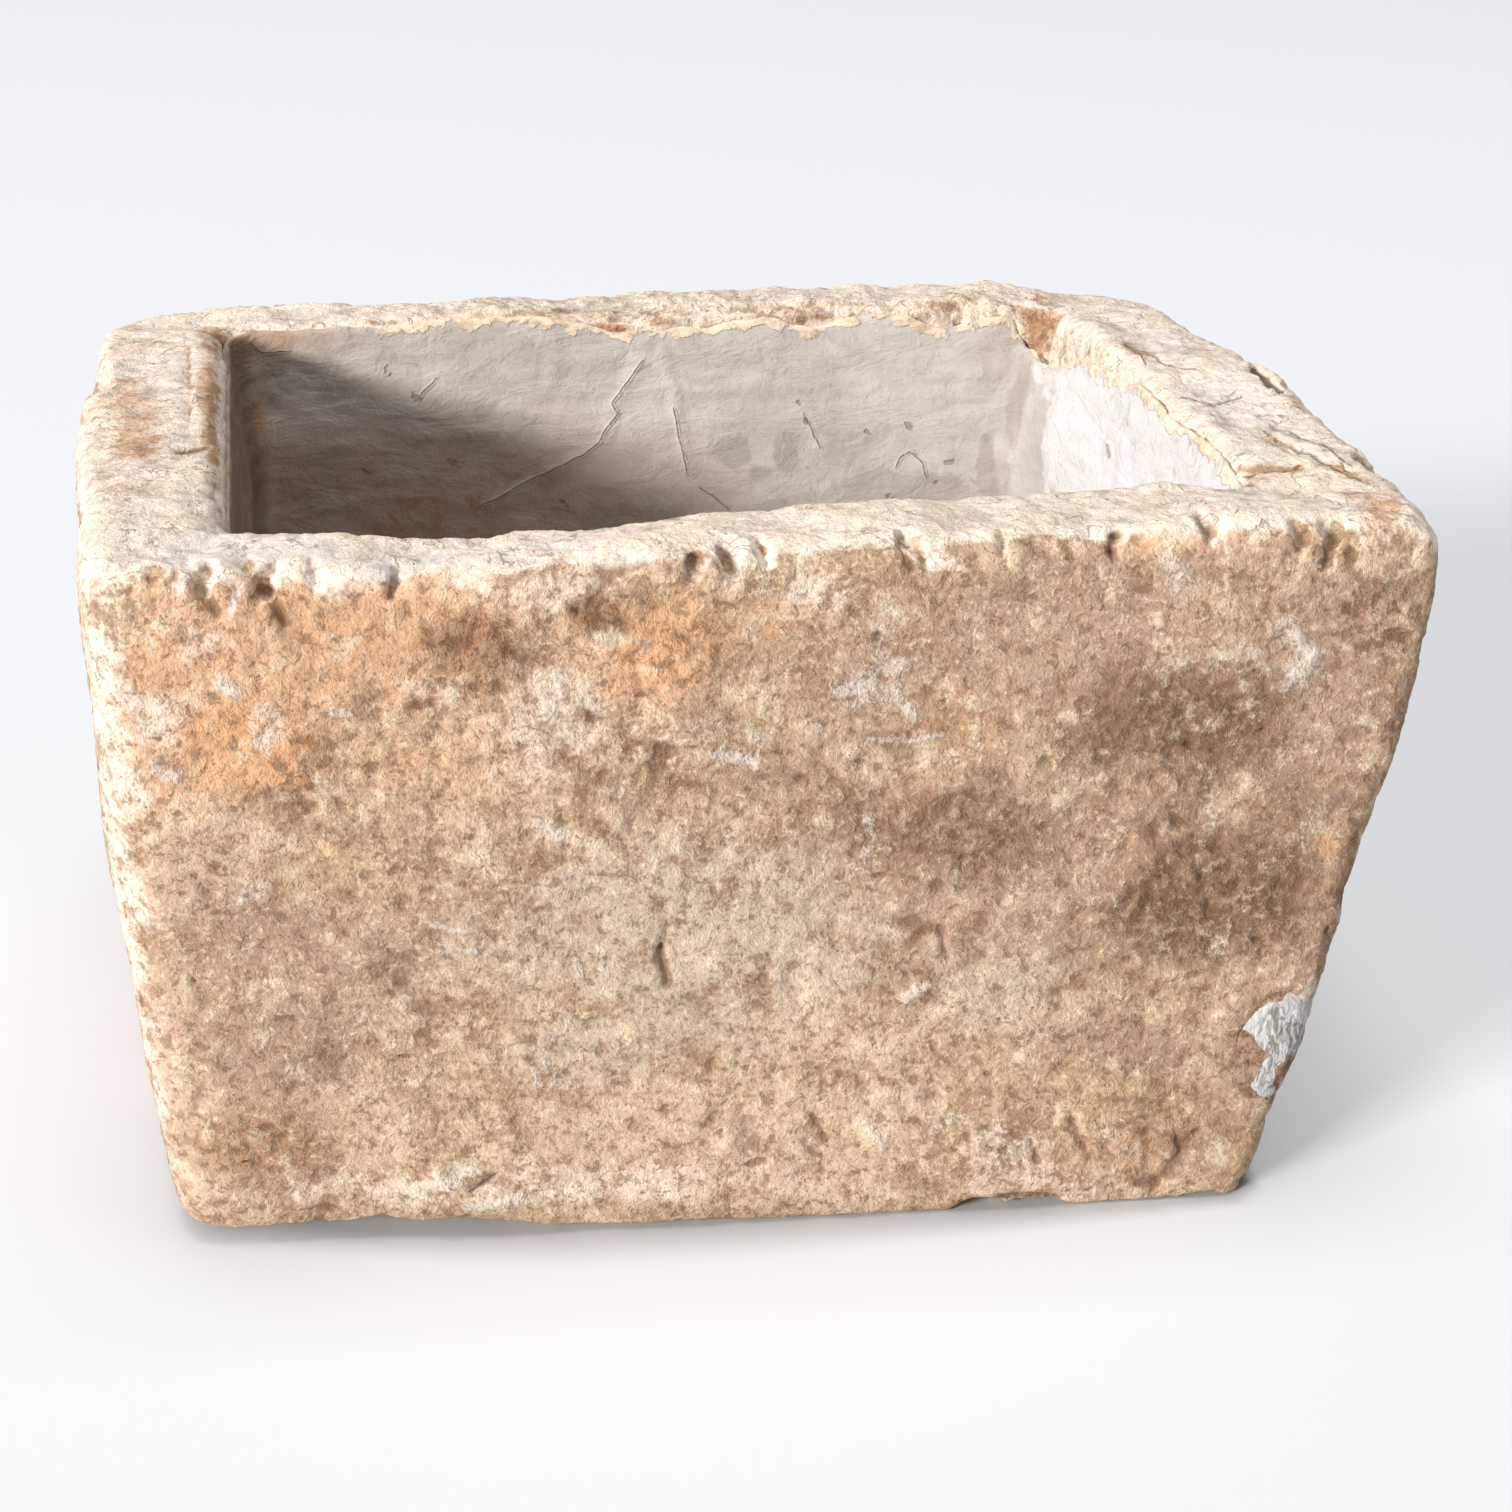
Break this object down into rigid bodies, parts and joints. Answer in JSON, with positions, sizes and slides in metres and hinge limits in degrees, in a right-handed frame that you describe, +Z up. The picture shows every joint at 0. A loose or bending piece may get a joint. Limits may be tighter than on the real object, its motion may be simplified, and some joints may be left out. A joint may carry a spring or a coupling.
{
  "type": "stone trough planter",
  "caption": "Hewn limestone trough planter: a tapered block with a worn rolled rim, a render-lined basin and a drain hole in its floor.",
  "frame": {"origin": "middle of the foot, on the surface that the trough stands on", "axes": "+X along the front from left to right, +Y from the front to the back, +Z up"},
  "size_m": [0.6087, 0.4558, 0.3373],
  "materials": {
    "limestone": "rough hewn and weathered, buff with orange, mauve and grey stains",
    "cement_render": "matte, trowelled, hairline cracks",
    "lime_mortar": "matte, brushed"
  },
  "bodies": {
    "root": {"stone_trough": "limestone", "basin_lining": "cement_render", "mortar_patch": "lime_mortar"}
  },
  "joints": []
}
